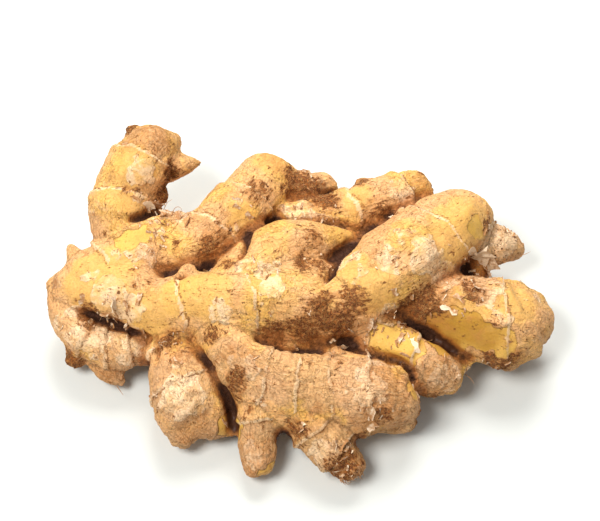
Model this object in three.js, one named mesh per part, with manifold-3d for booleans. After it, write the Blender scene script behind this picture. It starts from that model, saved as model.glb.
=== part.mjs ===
/**
 * A hand of fresh ginger: one rhizome that grew as a single body, lying on its flat side.
 *
 * Units are millimetres and +Z is up. The surface it lies on is z = 0, +X is to the right and
 * -Y is the near side. Each finger is a lathed profile with its ring scars, bent along its own
 * growing line and made lumpy. The fingers are then joined, and the lowest of them are
 * flattened where the rhizome rests.
 */
import * as THREE from 'three';
import { ImprovedNoise } from 'three/addons/math/ImprovedNoise.js';
import { mergeVertices } from 'three/addons/utils/BufferGeometryUtils.js';
import Module from 'manifold-3d';

// Driving dimensions of the skin, in millimetres.
const FACET = 4.6; // length of a facet round and along a finger
const FEWEST_SIDES = 8;
const MOST_SIDES = 22;
const SLIVER = 0.2; // facets narrower than this, where fingers meet, are taken into their neighbours
const RING_CREST = 0.5; // how far a ring scar stands out
const RING_GROOVE = 0.35; // how deep the line behind it is
const RING_WIDTH = 1.7; // from crest to groove
const BARREL = 0.05; // how much the skin swells between two rings, as a share of the radius
const LEAN = 0.14; // how far a ring leans along its finger, as a share of the radius
const WANDER = { size: 13, reach: 2.2 }; // how far a ring strays from a plain circle

// Lumps in the skin: size across, and height as a share of the finger's radius.
const LUMPS = [
  { size: 19, height: 0.15 },
  { size: 8, height: 0.07 },
];

// How a finger ends: the length of its cap in radii, and its shoulder, square below 1.
const TIPS = {
  dome: { reach: 0.75, shoulder: 1 },
  blunt: { reach: 0.42, shoulder: 0.5 },
  bud: { reach: 1.1, shoulder: 1.2 },
  spike: { reach: 1.8, shoulder: 1.5 },
};

// Each growing line runs from root to tip: x, y, z and the radius there.
// The rings are shares of the line's length.
const STEMS = {
  left: {
    tip: 'dome',
    rings: [0.62],
    line: [[-50, 20, 24, 10.3], [-61, 13, 24, 11.8], [-73, 7, 22, 11.7], [-82, 3, 20, 9.5]],
  },
  leftShoulder: {
    tip: 'dome',
    rings: [],
    line: [[-83, 1, 20, 8.8], [-70, -1, 23, 11.3], [-56, -3, 24, 10.9]],
  },
  middle: {
    tip: 'dome',
    rings: [0.33, 0.6],
    line: [[-71, -3, 19, 7.3], [-58, -7, 22, 9.8], [-43, -9, 25, 12.2], [-27, -9, 27, 13.3],
      [-9, -9, 27, 14], [7, -10, 26, 14], [20, -8, 26, 13.3]],
  },
  middleShoulder: {
    tip: 'dome',
    rings: [],
    line: [[-14, -2, 28, 11.5], [-4, -1, 28, 12.3], [5, 0, 27, 11]],
  },
};

const FAR_FINGERS = {
  farLeft: {
    tip: 'dome',
    rings: [0.4, 0.84],
    line: [[-66, 20, 26, 8.8], [-67, 30, 30, 10.4], [-64, 40, 33, 11.5], [-59, 49, 36, 11.6],
      [-55, 55, 38, 9.7]],
  },
  farLeftFoot: {
    tip: 'dome',
    rings: [],
    line: [[-67, 13, 26, 8.1], [-59, 17, 28, 8.4], [-51, 24, 27, 6.7], [-48, 29, 26, 4.1]],
  },
  farMiddle: {
    tip: 'blunt',
    rings: [0.36, 0.66],
    line: [[-50, 13, 24, 9.2], [-37, 18, 25, 11.4], [-30, 23, 26, 12.2], [-21, 34, 26, 12.3],
      [-14, 45, 26, 11.2], [-10, 52, 26, 9.8]],
  },
  farMiddleSide: {
    tip: 'dome',
    rings: [0.66],
    line: [[-8, 44, 22, 7.9], [2, 46, 21, 8.1], [10, 49, 20, 6.3]],
  },
  inner: {
    tip: 'dome',
    rings: [],
    line: [[-25, -3, 28, 11.5], [-14, 5, 30, 12.7], [-3, 12, 31, 12], [7, 15, 30, 9.5], [12, 17, 29, 6.6]],
  },
  farRight: {
    tip: 'dome',
    rings: [0.5, 0.9],
    line: [[-4, 31, 22, 7.5], [11, 32, 24, 7.8], [22, 34, 26, 8.7], [34, 39, 26, 9.2], [43, 43, 25, 8.4]],
  },
};

const RIGHT_FINGERS = {
  upperRight: {
    tip: 'dome',
    rings: [0.72],
    line: [[16, -6, 26, 13], [31, 3, 28, 15.2], [44, 14, 28, 15.7], [55, 25, 27, 14.8], [60, 30, 26, 12.6]],
  },
  upperRightSide: {
    tip: 'bud',
    rings: [0.45],
    line: [[60, 25, 20, 9.3], [71, 23, 19, 8.6], [78, 23, 17, 6]],
  },
  right: {
    tip: 'dome',
    rings: [0.76],
    line: [[42, -5, 22, 10.9], [54, -7, 20, 13.4], [67, -9, 18, 15.8], [76, -10, 16.5, 16.6],
      [80, -8, 17, 13.6]],
  },
  lowerRight: {
    tip: 'dome',
    rings: [0.55],
    line: [[23, -16, 20, 9.4], [32, -20, 17, 11.2], [42, -25, 15, 11.2], [49, -28, 13, 9.4],
      [53, -29, 12, 7.2]],
  },
};

const NEAR_FINGERS = {
  near: {
    tip: 'dome',
    rings: [0.36, 0.53, 0.69, 0.88],
    line: [[-30, -14, 24, 11.5], [-22, -26, 19, 13.4], [-9, -34, 16, 15.4], [7, -37, 15, 15.8],
      [23, -39, 15, 15], [33, -39, 14, 12.3]],
  },
  nearStub: {
    tip: 'blunt',
    rings: [0.2],
    line: [[-15, -45, 15, 7.6], [-15, -54, 10, 7.4], [-14.5, -64, 6, 5.8]],
  },
  nearMiddle: {
    tip: 'blunt',
    rings: [0.3, 0.72],
    line: [[2, -44, 15, 10.3], [10, -54, 11, 9.5], [19, -65, 7, 6]],
  },
  nearLeft: {
    tip: 'blunt',
    rings: [0.3, 0.72],
    line: [[-46, -11, 21, 8.4], [-45, -22, 17, 9.8], [-41, -35, 13, 13.4], [-38, -45, 12, 12.6]],
  },
  lowLeft: {
    tip: 'dome',
    rings: [0.45, 0.64, 0.85],
    line: [[-86, 1, 18, 7.6], [-82, -10, 16, 8.1], [-73, -17, 15, 8.4], [-62, -19, 14, 8.1],
      [-55, -20, 13, 5.9]],
  },
};

// Buds, side lobes and the stubs of broken roots, too small to have rings.
const KNOBS = [
  { tip: 'spike', line: [[-52, 48, 33, 6.9], [-44, 50, 32, 4.6], [-37, 52, 31, 1]] },
  { tip: 'blunt', line: [[-61, 57, 38, 5], [-63, 62, 39, 3.2]] },
  { tip: 'dome', line: [[-51, 56, 36, 6.8], [-47, 58, 36, 3.8]] },
  { tip: 'dome', line: [[-60, 36, 29, 8.2], [-53, 38, 28, 5.2], [-51, 39, 28, 3]] },
  { tip: 'blunt', line: [[-72, 31, 30, 4.6], [-76, 31, 29, 3.3]] },
  { tip: 'blunt', line: [[-50, 23, 27, 6.6], [-43, 29, 26, 3.9]] },
  { tip: 'bud', line: [[-82, 12, 23, 4.8], [-84, 16, 26, 2.7]] },
  { tip: 'dome', line: [[-87, 5, 20, 5.5], [-91, 4, 20, 3.3]] },
  { tip: 'dome', line: [[-41, -2, 30, 5.8], [-40, 2, 33, 3.6]] },
  { tip: 'dome', line: [[-27, 4, 31, 5], [-27, 7, 32, 3]] },
  { tip: 'dome', line: [[9, 16, 31, 5.5], [17, 19, 29, 3.5]] },
  { tip: 'dome', line: [[25, 41, 28, 5.4], [23, 44, 29, 3.2]] },
  { tip: 'dome', line: [[28, 28, 26, 5.6], [31, 32, 29, 3.2]] },
  { tip: 'dome', line: [[56, 33, 27, 6.9], [60, 37, 27, 4]] },
  { tip: 'dome', line: [[60, 26, 26, 8.2], [67, 31, 24, 4.6]] },
  { tip: 'dome', line: [[70, -3, 21, 9.5], [76, 0, 21, 5.8]] },
  { tip: 'dome', line: [[80, -4, 19, 9.8], [86, -3, 19, 5.4]] },
  { tip: 'dome', line: [[73, -16, 11, 9.3], [77, -21, 9, 5.5]] },
  { tip: 'spike', line: [[53, -26, 14, 5], [60, -26, 13, 1.8]] },
  { tip: 'bud', line: [[34, -35, 20, 5.9], [40, -34, 20, 3]] },
  { tip: 'dome', line: [[25, -43, 10, 7.1], [35, -45, 9, 6.4], [38, -46, 9, 5.2]] },
  { tip: 'bud', line: [[1, -31, 25, 4.4], [1, -27, 28, 2.4]] },
  { tip: 'bud', line: [[13, -32, 24, 4.4], [13, -28, 27, 2.4]] },
  { tip: 'dome', line: [[-34, -43, 11, 10.6], [-28, -47, 9, 7.2], [-24, -49, 8, 3.2]] },
  { tip: 'blunt', line: [[-41, -49, 9, 6.6], [-43, -54, 6, 4.2]] },
  { tip: 'dome', line: [[-36, -30, 16, 6], [-31, -31, 16, 3.2]] },
  { tip: 'blunt', line: [[-81, -17, 10, 5.2], [-83, -21, 7, 3.8]] },
  { tip: 'dome', line: [[-74, -20, 10, 4.9], [-69, -26, 7, 4.2], [-65, -28, 6, 3]] },
];

// The old stem under the fingers, which joins them, its broken stubs and the low places it lies on.
const UNDERSIDE = [
  {
    tip: 'dome',
    line: [[-77, 0, 14, 7], [-62, -7, 13, 8.8], [-46, -7, 12, 9.8], [-32, -13, 14, 8.4],
      [-14, -9, 13, 10.8], [4, -14, 14, 9], [22, -9, 13, 10.4], [38, -8, 14, 9], [50, -2, 14, 8]],
  },
  {
    tip: 'dome',
    line: [[-54, 8, 15, 9], [-40, 15, 15, 11.5], [-24, 10, 15, 12], [-8, 18, 16, 11.6],
      [8, 13, 16, 12.6], [24, 20, 16, 11.4], [42, 12, 15, 11]],
  },
  { tip: 'dome', line: [[-31, 20, 14, 10], [-19, 36, 9, 10.4], [-11, 44, 9, 8]] },
  { tip: 'dome', line: [[28, 20, 13, 11], [42, 29, 10, 10.8]] },
  { tip: 'dome', line: [[62, 16, 15, 8.8], [60, 8, 14, 9]] },
  { tip: 'blunt', line: [[-62, 10, 14, 9], [-70, 15, 8, 6.8]] },
  { tip: 'blunt', line: [[-46, 2, 12, 8], [-50, 0, 5, 6], [-51, -1, 3, 5.4]] },
  { tip: 'blunt', line: [[14, 14, 12, 8.4], [10, 18, 5, 6.6], [9, 19, 3, 5.8]] },
  { tip: 'bud', line: [[40, -4, 12, 7], [46, -1, 6, 5]] },
  { tip: 'bud', line: [[-24, 4, 10, 7], [-27, 1, 5, 4.6]] },
];

const LYING = { width: 400, depth: 60 }; // the block that flattens what lies below z = 0
const UP = new THREE.Vector3(0, 0, 1);

const wasm = await Module();
wasm.setup();
const perlin = new ImprovedNoise();

// A closed three.js geometry as a solid that can be joined and cut.
function solidOf(geometry) {
  const bare = new THREE.BufferGeometry();
  bare.setAttribute('position', geometry.getAttribute('position').clone());
  bare.setIndex(geometry.index);
  const merged = mergeVertices(bare, 1e-4);
  return new wasm.Manifold(new wasm.Mesh({
    numProp: 3,
    vertProperties: merged.getAttribute('position').array,
    triVerts: new Uint32Array(merged.index.array),
  }));
}

function noiseAt(point, size) {
  return perlin.noise(point.x / size + 7.3, point.y / size + 3.1, point.z / size + 5.7);
}

// One stretch between two rings: a groove at its start, a barrel, and a crest at its end.
function internode(from, to, radius, hasGroove, hasCrest) {
  const start = hasGroove ? from + RING_WIDTH : from;
  const steps = Math.max(1, Math.round((to - start) / FACET));
  const stations = [];
  for (let k = 0; k <= steps; k++) {
    const share = k / steps;
    const relief = BARREL * radius * Math.sin(Math.PI * share);
    stations.push({ along: start + (to - start) * share, relief });
  }
  if (hasGroove) stations[0].relief = -RING_GROOVE;
  if (hasCrest) stations[steps].relief = RING_CREST;
  return stations;
}

// The half section of a finger that stands upright along Y, from its root to its tip.
function profileOf(length, radiusAt, rings, tip) {
  const { reach, shoulder } = TIPS[tip];
  const rootRadius = radiusAt(0);
  const tipRadius = radiusAt(length);
  const profile = [];
  const add = (radius, along) => profile.push(new THREE.Vector2(radius, along));

  add(0, -0.7 * rootRadius);
  add(0.7 * rootRadius, -0.5 * rootRadius);
  const ends = [0, ...rings.map((share) => share * length), length];
  for (let i = 0; i + 1 < ends.length; i++) {
    const stations = internode(ends[i], ends[i + 1], radiusAt(length / 2), i > 0, i + 2 < ends.length);
    for (const { along, relief } of stations) add(radiusAt(along) + relief, along);
  }
  const capSteps = tipRadius > 7 ? 4 : 3;
  for (let k = 1; k < capSteps; k++) {
    const turn = (k / capSteps) * (Math.PI / 2);
    add(tipRadius * Math.cos(turn) ** shoulder, length + reach * tipRadius * Math.sin(turn));
  }
  add(0, length + reach * tipRadius);
  return profile;
}

// A growing line at some distance along it: its centre and the two ways across it.
function frameAt(spine, length, along) {
  const share = THREE.MathUtils.clamp(along / length, 0, 1);
  const tangent = spine.getTangentAt(share);
  const side = new THREE.Vector3().crossVectors(tangent, UP).normalize();
  const lift = new THREE.Vector3().crossVectors(side, tangent);
  const centre = spine.getPointAt(share).addScaledVector(tangent, along - share * length);
  return { centre, side, lift };
}

function pointIn({ centre, side, lift }, across, depth) {
  return centre.clone().addScaledVector(side, across).addScaledVector(lift, depth);
}

// One finger as a solid: a lathe turned along Y, then bent so that Y follows the growing line.
function growFinger({ tip, line, rings = [] }) {
  const spine = new THREE.CatmullRomCurve3(line.map(([x, y, z]) => new THREE.Vector3(x, y, z)));
  const girths = new THREE.SplineCurve(line.map(([, , , radius], i) => new THREE.Vector2(i, radius)));
  const length = spine.getLength();
  const radiusAt = (along) => {
    const share = THREE.MathUtils.clamp(along / length, 0, 1);
    return girths.getPoint(spine.getUtoTmapping(share)).y;
  };
  const widest = Math.max(...line.map((point) => point[3]));
  const around = Math.round((2 * Math.PI * widest) / FACET);
  const sides = THREE.MathUtils.clamp(around, FEWEST_SIDES, MOST_SIDES);
  const geometry = new THREE.LatheGeometry(profileOf(length, radiusAt, rings, tip), sides);

  const skin = geometry.getAttribute('position');
  for (let i = 0; i < skin.count; i++) {
    const across = skin.getX(i);
    const upright = skin.getY(i);
    const depth = skin.getZ(i);
    const plain = pointIn(frameAt(spine, length, upright), across, depth);
    const stray = rings.length > 0 ? LEAN * across + WANDER.reach * noiseAt(plain, WANDER.size) : 0;
    const frame = frameAt(spine, length, upright + stray);
    const mark = pointIn(frame, across, depth);
    const swell = LUMPS.reduce((sum, { size, height }) => sum + height * noiseAt(mark, size), 1);
    const point = pointIn(frame, across * swell, depth * swell);
    skin.setXYZ(i, Math.fround(point.x), Math.fround(point.y), Math.fround(point.z));
  }
  return solidOf(geometry);
}

function growRhizome() {
  const groups = [STEMS, FAR_FINGERS, RIGHT_FINGERS, NEAR_FINGERS];
  const ringed = groups.flatMap((group) => Object.values(group));
  const fingers = [...ringed, ...KNOBS, ...UNDERSIDE].map(growFinger);
  const whole = fingers.reduce((grown, finger) => grown.add(finger));
  const below = new THREE.BoxGeometry(LYING.width, LYING.width, LYING.depth);
  below.translate(0, 0, -LYING.depth / 2);
  return whole.subtract(solidOf(below)).asOriginal().simplify(SLIVER);
}

// The solid as a mesh whose footprint is centred on the origin.
function geometryOf(solid) {
  const { vertProperties, triVerts } = solid.getMesh();
  const geometry = new THREE.BufferGeometry();
  geometry.setAttribute('position', new THREE.BufferAttribute(vertProperties, 3));
  geometry.setIndex(new THREE.BufferAttribute(triVerts, 1));
  geometry.computeBoundingBox();
  const middle = geometry.boundingBox.getCenter(new THREE.Vector3());
  geometry.translate(-middle.x, -middle.y, 0);
  geometry.computeVertexNormals();
  return geometry;
}

const skin = new THREE.MeshStandardMaterial({ color: '#cf9f5f', roughness: 0.7, metalness: 0 });
const rhizome = new THREE.Mesh(geometryOf(growRhizome()), skin);
rhizome.name = 'ginger_rhizome';

const ginger = new THREE.Group();
ginger.add(rhizome);

export default ginger;
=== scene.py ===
# %% [markdown]
# # A hand of fresh ginger
#
# Ginger is a rhizome: an underground stem that swells, forks and sends out short fingers. This file
# takes the plain solid of one hand and gives it its skin: soft joins, ring scars, fibres, rubbed
# golden places, dry papery scales, brown corky scabs and the stubs of broken roots.
# The solid is kept as the form. Everything here is measured in metres, with places written in
# millimetres and multiplied by MM, because that is how a hand of ginger is measured.

# %% Load the solid
import math
import random

import bpy
import numpy as np
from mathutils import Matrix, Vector, noise
from mathutils.bvhtree import BVHTree


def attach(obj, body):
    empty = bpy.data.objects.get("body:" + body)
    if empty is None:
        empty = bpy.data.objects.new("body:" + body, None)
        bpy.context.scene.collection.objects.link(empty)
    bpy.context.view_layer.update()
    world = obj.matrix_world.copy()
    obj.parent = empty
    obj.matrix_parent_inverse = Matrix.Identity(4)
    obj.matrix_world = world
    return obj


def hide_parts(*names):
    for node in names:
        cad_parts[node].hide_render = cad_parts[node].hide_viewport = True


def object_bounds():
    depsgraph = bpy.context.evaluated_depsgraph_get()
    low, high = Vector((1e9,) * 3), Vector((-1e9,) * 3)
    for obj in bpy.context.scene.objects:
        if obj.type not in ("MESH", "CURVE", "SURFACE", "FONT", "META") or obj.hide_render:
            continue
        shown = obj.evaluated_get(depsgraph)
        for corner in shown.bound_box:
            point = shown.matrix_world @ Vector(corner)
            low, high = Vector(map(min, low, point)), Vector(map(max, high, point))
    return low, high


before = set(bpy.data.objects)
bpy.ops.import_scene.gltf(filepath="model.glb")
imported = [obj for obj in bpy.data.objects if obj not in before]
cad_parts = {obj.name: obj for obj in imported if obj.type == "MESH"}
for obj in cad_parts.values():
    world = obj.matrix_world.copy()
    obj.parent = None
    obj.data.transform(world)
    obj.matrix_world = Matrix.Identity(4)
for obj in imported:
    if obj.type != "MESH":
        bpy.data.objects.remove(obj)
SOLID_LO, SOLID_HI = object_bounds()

MM = 0.001
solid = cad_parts["ginger_rhizome"]
print("solid, mm:", [round(v / MM, 1) for v in SOLID_HI - SOLID_LO])

# %% [markdown]
# ## Camera
#
# The photograph looks down from rather high up, through a long lens, so that the fingers at the
# back are nearly as large as those in front. The rise, distance and lens are estimates, because
# the photograph doesn't state them. The camera comes first, because all looks are judged by it.

# %% Place the camera
CAMERA_RISE = math.radians(57)
CAMERA_DISTANCE = 0.65
CAMERA_AIM = Vector((0.4, 17.7, 20)) * MM
SENSOR_WIDTH = 36
LENS = 105.4

camera_back = Vector((0, -math.cos(CAMERA_RISE), math.sin(CAMERA_RISE)))
bpy.ops.object.camera_add(
    location=CAMERA_AIM + CAMERA_DISTANCE * camera_back,
    rotation=(math.pi / 2 - CAMERA_RISE, 0, 0),
)
camera = bpy.context.object
camera.name = "camera"
camera.data.sensor_width = SENSOR_WIDTH
camera.data.lens = LENS
camera.data.clip_start = 0.01
bpy.context.scene.camera = camera
print("camera at, mm:", [round(v / MM) for v in camera.location])

# %% [markdown]
# ## Table and light
#
# The ginger lies on a plain white table. One soft light hangs high at the front left and a second
# one behind, so the tops of the fingers are bright and their near sides fall away to brown. The
# lights are area lights, because their size sets how soft the shadow is.

# %% Lay the table and hang the lights
TABLE_SIZE = 6.0
TABLE_COLOUR = (0.69, 0.715, 0.695, 1)
SKY_COLOUR = (1.0, 0.99, 0.98, 1)
SKY_STRENGTH = 0.36
LIGHT_AIM = (0, 0, 0.02)
# Each light: its name, place, size, power in watts and colour.
LIGHTS = [
    ("key_light", (-0.38, -0.24, 0.78), 0.34, 7.4, (1.0, 0.98, 0.95)),
    ("back_light", (0.05, 0.5, 0.6), 0.42, 6.8, (1.0, 0.985, 0.96)),
]


def set_inputs(node, values):
    """Sets some sockets of a node to plain numbers or colours."""
    for name, value in values.items():
        node.inputs[name].default_value = value


def new_material(name):
    """A new material, with its node tree and its main shader."""
    made = bpy.data.materials.new(name)
    made.use_nodes = True
    return made, made.node_tree, made.node_tree.nodes["Principled BSDF"]


def area_light(name, place, size, power, colour):
    """A square soft light that looks at the ginger."""
    bpy.ops.object.light_add(type="AREA", location=place)
    light = bpy.context.object
    light.name = name
    light.data.size = size
    light.data.energy = power
    light.data.color = colour
    towards = Vector(LIGHT_AIM) - Vector(place)
    light.rotation_euler = towards.to_track_quat("-Z", "Y").to_euler()


bpy.ops.mesh.primitive_plane_add(size=TABLE_SIZE, location=(0, 0, 0))
table = bpy.context.object
table.name = "table"
table_paint, _, table_shader = new_material("table_white")
set_inputs(table_shader, {"Base Color": TABLE_COLOUR, "Roughness": 0.9})
table.data.materials.append(table_paint)

for light_settings in LIGHTS:
    area_light(*light_settings)

studio = bpy.data.worlds.new("studio")
studio.use_nodes = True
set_inputs(studio.node_tree.nodes["Background"], {"Color": SKY_COLOUR, "Strength": SKY_STRENGTH})
bpy.context.scene.world = studio
bpy.context.scene.view_settings.view_transform = "Standard"
bpy.context.scene.view_settings.look = "None"

# %% [markdown]
# ## The body of the rhizome
#
# The solid has flat facets and hard lines where two fingers were joined. Real fingers flow into
# each other with a soft web of skin, tighter in some places than in others. A subdivision surface
# can't be used on such triangles, so the copy is rebuilt as an even grid of small quads with a
# voxel Remesh. Then the skin is pushed out, rebuilt and pulled in again: the narrow creases close
# up by a chosen amount, as they do when flesh grows together, and the open shapes come back.

# %% Copy the solid and merge its loose triangles
MERGE_WITHIN = 0.01 * MM


def new_piece(name, shape):
    """Puts a mesh or a curve into the scene."""
    piece = bpy.data.objects.new(name, shape)
    bpy.context.collection.objects.link(piece)
    return piece


def pick(piece):
    """Selects one piece and nothing else."""
    bpy.ops.object.select_all(action="DESELECT")
    piece.select_set(True)
    bpy.context.view_layer.objects.active = piece


def finish_with(piece, kind, **settings):
    """Adds a modifier to a piece and applies it."""
    pick(piece)
    modifier = piece.modifiers.new(kind.lower(), kind)
    for name, value in settings.items():
        setattr(modifier, name, value)
    bpy.ops.object.modifier_apply(modifier=modifier.name)


def in_edit_mode(piece, *steps):
    """Runs edit-mode operators on all of a piece."""
    pick(piece)
    bpy.ops.object.mode_set(mode="EDIT")
    bpy.ops.mesh.select_all(action="SELECT")
    for step, settings in steps:
        step(**settings)
    bpy.ops.object.mode_set(mode="OBJECT")


body = new_piece("ginger_skin", solid.data.copy())
in_edit_mode(
    body,
    (bpy.ops.mesh.remove_doubles, {"threshold": MERGE_WITHIN}),
    (bpy.ops.mesh.normals_make_consistent, {"inside": False}),
)
body.data.materials.clear()
print("merged copy:", len(body.data.vertices), "points,", len(body.data.polygons), "faces")

# %% Measure and move the points of a mesh
def read_rows(layer, key):
    flat = np.empty(len(layer) * 3, np.float32)
    layer.foreach_get(key, flat)
    return flat.reshape(-1, 3).astype(float)


def points_of(piece):
    return read_rows(piece.data.vertices, "co")


def normals_of(piece):
    return read_rows(piece.data.vertex_normals, "vector")


def move_points(piece, places):
    piece.data.vertices.foreach_set("co", places.astype(np.float32).ravel())
    piece.data.update()


def push_skin(piece, reach):
    """Moves each point along its normal by reach, in metres: one number or one for each point."""
    move_points(piece, points_of(piece) + normals_of(piece) * np.reshape(reach, (-1, 1)))


def away_from(places_mm, x, y, z):
    """How far each point is from one place, in mm."""
    return np.linalg.norm(places_mm - (x, y, z), axis=1)


def bell(away, size):
    """1 at the middle, falling softly to nothing at about twice the size."""
    return np.exp(-((away / size) ** 2))


def smoothstep(low, high, value):
    share = np.clip((value - low) / (high - low), 0, 1)
    return share * share * (3 - 2 * share)


# %% Let the fingers grow together
# Where the skin webs over from one finger to the next: x, y, z, how far round, and by how much, mm.
WEBS = [
    (-6, 3, 34, 11, 1.6),
    (-22, -2, 34, 10, 1.4),
    (-60, 2, 26, 12, 1.8),
    (20, 0, 34, 11, 1.6),
    (-66, 20, 30, 9, 1.6),
    (-20, -24, 28, 8, 1.2),
    (-32, 8, 28, 9, 1.8),
    (-13, 25, 32, 7, 2.8),
    (48, -15, 20, 9, 1.8),
    (24, -21, 24, 6, 1.6),
    (-42, 3, 31, 7, 1.4),
]
WEB_EVERYWHERE = 0.25 * MM
FIRST_GRID = 1.0 * MM
WEB_GRID = 0.9 * MM
FIRST_EVEN_ROUNDS = 9
LAST_EVEN_ROUNDS = 3
SMOOTHED = 0.5
UNDONE = -0.53


def web_reach(places):
    """How far the crease at each point is closed, in metres."""
    reach = np.full(len(places), WEB_EVERYWHERE)
    for x, y, z, size, amount in WEBS:
        reach += amount * MM * bell(away_from(places / MM, x, y, z), size)
    return reach


def even_out(piece, rounds):
    """Smooths small facets away and keeps the larger form: each smoothing is partly undone."""
    for _ in range(rounds):
        finish_with(piece, "SMOOTH", factor=SMOOTHED, iterations=1)
        finish_with(piece, "SMOOTH", factor=UNDONE, iterations=1)


def regrid(piece, grid):
    """Rebuilds a piece as an even grid of small quads."""
    finish_with(piece, "REMESH", mode="VOXEL", voxel_size=grid)


def close_folds(piece, reach_at, grid):
    """Swells a piece until its narrow folds close, and shrinks it again."""
    push_skin(piece, reach_at(points_of(piece)))
    regrid(piece, grid)
    finish_with(piece, "SMOOTH", factor=SMOOTHED, iterations=2)
    push_skin(piece, -reach_at(points_of(piece)))
    regrid(piece, grid)


regrid(body, FIRST_GRID)
even_out(body, FIRST_EVEN_ROUNDS)
close_folds(body, web_reach, WEB_GRID)
even_out(body, LAST_EVEN_ROUNDS)
print("grown together:", len(body.data.vertices), "points")

# %% [markdown]
# ## Deep creases
#
# Where two fingers press against each other, the skin between them folds into a narrow dark slot
# that may be as deep as it is long. A displacement texture can't reach so far into one place, so
# each slot is given as a short line, and the skin near the line is drawn inwards, most strongly
# on the line itself. The voxel Remesh that follows gives the stretched walls new faces.

# %% Draw the deep creases
# Each crease: its width and depth in mm, and the points that it passes, x, y, z in mm.
CREASES = [
    (1.4, 5.5, [(21, 17, 31), (17, 14, 33), (14, 8, 36), (11, 1, 38), (8, -4, 39)]),
    (1.6, 6.0, [(-19, 20, 34), (-19, 14, 38), (-20, 9, 39), (-22, 6, 39)]),
    (1.1, 3.4, [(-32, 10, 29), (-35, 7, 30), (-40, 2, 35), (-46, 0, 35), (-52, -1, 35)]),
    (1.4, 5.0, [(-15, -22, 31), (-9, -24, 30), (-4, -25, 30), (2, -25, 30), (8, -26, 29)]),
    (1.1, 4.4, [(-80, -7, 25), (-74, -9, 24), (-67, -12, 23), (-60, -15, 23), (-53, -18, 23)]),
    (1.2, 3.5, [(-51, -18, 25), (-51, -23, 24), (-50, -27, 22)]),
    (1.4, 4.5, [(-37, -24, 27), (-31, -31, 25), (-27, -36, 22), (-25, -41, 18), (-23, -47, 12)]),
    (1.1, 4.6, [(-66, 26, 37), (-62, 26, 36), (-57, 28, 35), (-53, 31, 32), (-47, 33, 29)]),
    (1.0, 2.4, [(28, 26, 34), (31, 27, 35), (36, 28, 36), (41, 32, 35), (45, 39, 32)]),
    (1.1, 2.6, [(-3, 34, 30), (2, 35, 31), (9, 37, 31), (15, 38, 31)]),
    (1.6, 4.4, [(60, 13, 25), (65, 10, 23), (70, 9, 22)]),
    (1.3, 4.2, [(39, -12, 25), (45, -15, 24), (50, -18, 23), (56, -21, 20)]),
    (1.2, 3.6, [(22, -24, 25), (31, -26, 25), (38, -28, 24), (41, -34, 22), (41, -40, 20)]),
    (0.9, 2.2, [(23, -46, 27), (24, -49, 25), (25, -51, 21)]),
]
CREASE_STEP = 0.8


def smooth_line(knots, step):
    """Points about one step apart on a Catmull-Rom curve through the knots, in mm."""
    knots = np.array(knots, float)
    padded = np.vstack([2 * knots[0] - knots[1], knots, 2 * knots[-1] - knots[-2]])
    rows = []
    for before, start, end, after in zip(padded, padded[1:], padded[2:], padded[3:]):
        count = max(2, round(np.linalg.norm((end - start)[:3]) / step))
        for t in np.arange(count) / count:
            slope = (end - before) * t
            bend = (2 * before - 5 * start + 4 * end - after) * t**2
            twist = (3 * start - before - 3 * end + after) * t**3
            rows.append(start + 0.5 * (slope + bend + twist))
    rows.append(knots[-1])
    return np.array(rows)


def draw_crease(piece, width, depth, knots):
    """Pulls the skin along one line inwards. The slot is deepest at mid length."""
    places = points_of(piece)
    line = smooth_line(knots, CREASE_STEP)
    near = np.linalg.norm(places[:, None] / MM - line[None, :, :], axis=2)
    closest = near.argmin(axis=1)
    away = near[np.arange(len(places)), closest]
    share = closest / (len(line) - 1)
    taper = np.sin(np.pi * np.clip(0.12 + 0.76 * share, 0, 1)) ** 0.6
    pull = depth * taper * bell(away, width)
    touched = away < 3 * width
    inward = -normals_of(piece)[away < width].mean(axis=0)
    inward /= np.linalg.norm(inward)
    places[touched] += pull[touched, None] * inward * MM
    move_points(piece, places)


for crease_width, crease_depth, crease_knots in CREASES:
    draw_crease(body, crease_width, crease_depth, crease_knots)
print("creases drawn:", len(CREASES))

# %% Give the skin its final fine grid
FINE_GRID = 0.84 * MM

regrid(body, FINE_GRID)
finish_with(body, "SMOOTH", factor=SMOOTHED, iterations=1)
print("fine skin:", len(body.data.vertices), "points,", 2 * len(body.data.polygons), "triangles")

# %% [markdown]
# ## A map of the fingers
#
# Ring scars run round a finger and fibres run along it, so both need to know where a point of the
# skin lies on its own finger. The growing lines of the solid are repeated here with the same
# places and radii. Each point of the skin belongs to the line whose surface is nearest, and gets
# three numbers: how far along that line it is, and its two distances across it.

# %% The growing lines
# The solid was centred over its footprint, so its growing lines are moved by this much, in mm.
CENTRED = np.array((0.4, 2.72, 0.0))

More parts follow.
